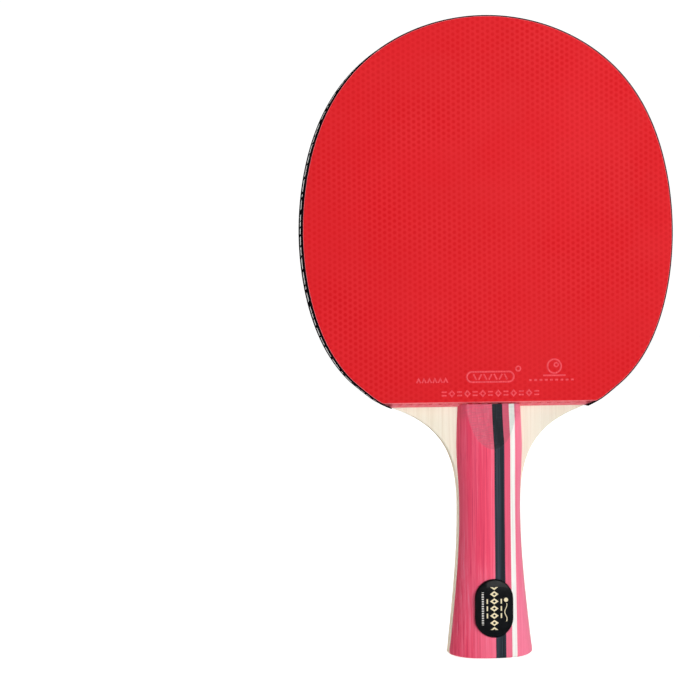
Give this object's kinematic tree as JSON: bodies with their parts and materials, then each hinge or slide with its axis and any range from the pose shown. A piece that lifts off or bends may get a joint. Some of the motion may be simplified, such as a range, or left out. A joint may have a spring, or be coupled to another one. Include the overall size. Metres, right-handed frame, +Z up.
{
  "type": "table tennis paddle",
  "caption": "Table tennis paddle: a laminated wooden blade with red and black rubber faces, taped rim and a flared striped handle with a domed badge.",
  "frame": {"origin": "centre of the flat handle end, on the blade's mid-plane", "axes": "+Z up the paddle from the handle end to the top of the head; X across the width; -Y out of the red front face, +Y out of the black back face"},
  "size_m": [0.1514, 0.0242, 0.2583],
  "materials": {
    "blade_core_wood": "raw, lightly sanded light core wood",
    "blade_inner_wood": "raw veneer",
    "blade_face_wood": "pale veneer, satin sealed",
    "sponge": "fine closed-cell sponge, matte",
    "red_rubber": "satin, slightly tacky sheet",
    "black_rubber": "satin, slightly tacky sheet",
    "edge_tape": "satin tape with small white dashes",
    "red_dyed_wood": "dyed, sanded and clear sealed",
    "black_dyed_wood": "dyed, sanded and clear sealed",
    "white_wood": "bleached, sanded and clear sealed",
    "badge_label": "black label printed with a thin gold line motif",
    "badge_dome": "high gloss domed resin"
  },
  "bodies": {
    "root": {"blade_core": "blade_core_wood", "blade_inner_ply_front": "blade_inner_wood", "blade_inner_ply_back": "blade_inner_wood", "blade_face_ply_front": "blade_face_wood", "blade_face_ply_back": "blade_face_wood", "front_sponge": "sponge", "front_topsheet": "red_rubber", "back_sponge": "sponge", "back_topsheet": "black_rubber", "edge_tape": "edge_tape", "front_scale_left": "red_dyed_wood", "front_scale_black_strip": "black_dyed_wood", "front_scale_middle": "red_dyed_wood", "front_scale_white_strip": "white_wood", "front_scale_right": "red_dyed_wood", "back_scale_left": "red_dyed_wood", "back_scale_black_strip": "black_dyed_wood", "back_scale_middle": "red_dyed_wood", "back_scale_white_strip": "white_wood", "back_scale_right": "red_dyed_wood", "badge_base": "badge_label", "badge_dome": "badge_dome"}
  },
  "joints": []
}
